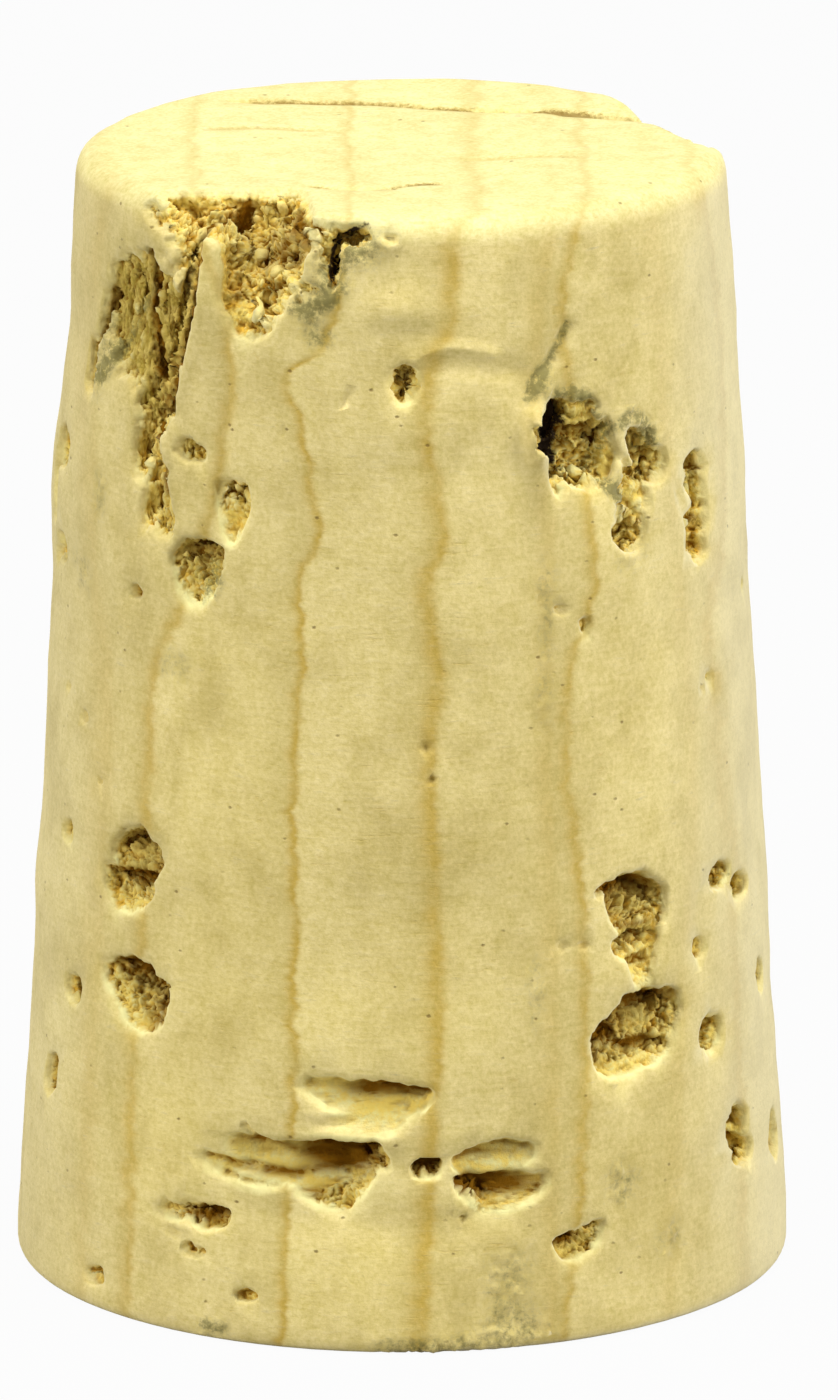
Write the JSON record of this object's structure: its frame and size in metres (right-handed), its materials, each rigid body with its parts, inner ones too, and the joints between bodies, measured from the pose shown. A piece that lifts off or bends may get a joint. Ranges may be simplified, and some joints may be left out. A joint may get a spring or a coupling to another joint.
{
  "type": "cork stopper",
  "caption": "Tapered plug of natural cork with rounded ends, open pores, cracks and a broken rim.",
  "frame": {"origin": "middle of the large end, on the surface that the stopper stands on", "axes": "+Z along the stopper's axis towards the small end; X along the tree's radius, across the growth rings and along the pores; -Y towards the face with the broken rim"},
  "size_m": [0.026, 0.026, 0.038],
  "materials": {
    "cork": "raw natural cork, matt and fine-grained, cream with tan growth rings and brown crumbly pores"
  },
  "bodies": {
    "root": {"stopper": "cork"}
  },
  "joints": []
}
